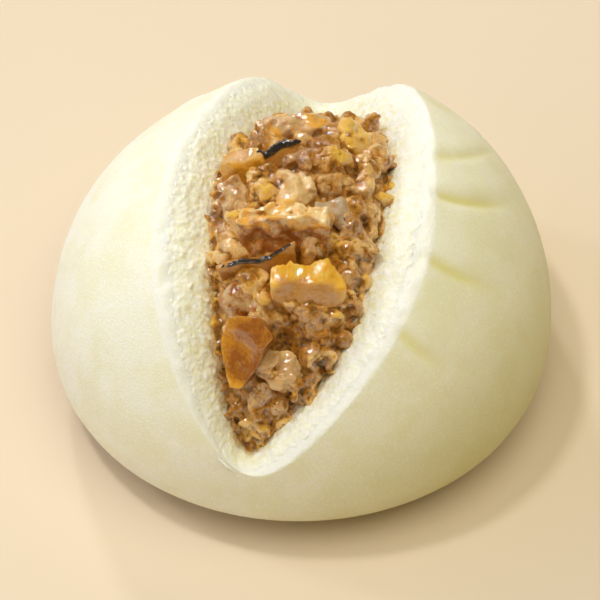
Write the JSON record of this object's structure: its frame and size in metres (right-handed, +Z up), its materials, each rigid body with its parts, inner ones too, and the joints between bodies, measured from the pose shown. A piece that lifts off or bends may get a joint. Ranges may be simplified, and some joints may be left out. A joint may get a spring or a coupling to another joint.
{
  "type": "steamed pork bun",
  "caption": "Round steamed bun with a flat base and a pleated top torn open over a crowned, chopped pork, bamboo shoot and mushroom filling.",
  "frame": {"origin": "middle of the dough's base, on the plane it rests on", "axes": "+Z up through the torn opening; the opening runs along Y with its low front end towards -Y"},
  "size_m": [0.099, 0.1012, 0.0571],
  "materials": {
    "dough": "soft pale steamed dough with a smooth skin",
    "mince": "moist sauce-glazed chopped meat",
    "pork": "moist cooked pork with a thin glaze",
    "bamboo": "sauce-stained bamboo shoot, glossy",
    "mushroom": "braised mushroom slice with a black cap edge",
    "onion": "translucent cooked onion, wet"
  },
  "bodies": {
    "root": {"dough": "dough", "filling": "mince", "pork_back": "pork", "pork_left": "pork", "pork_middle": "pork", "pork_slab": "pork", "pork_grey": "pork", "pork_front": "pork", "bamboo_back": "bamboo", "bamboo_left": "bamboo", "bamboo_middle": "bamboo", "bamboo_front": "bamboo", "mushroom_back": "mushroom", "mushroom_middle": "mushroom", "onion": "onion"}
  },
  "joints": []
}
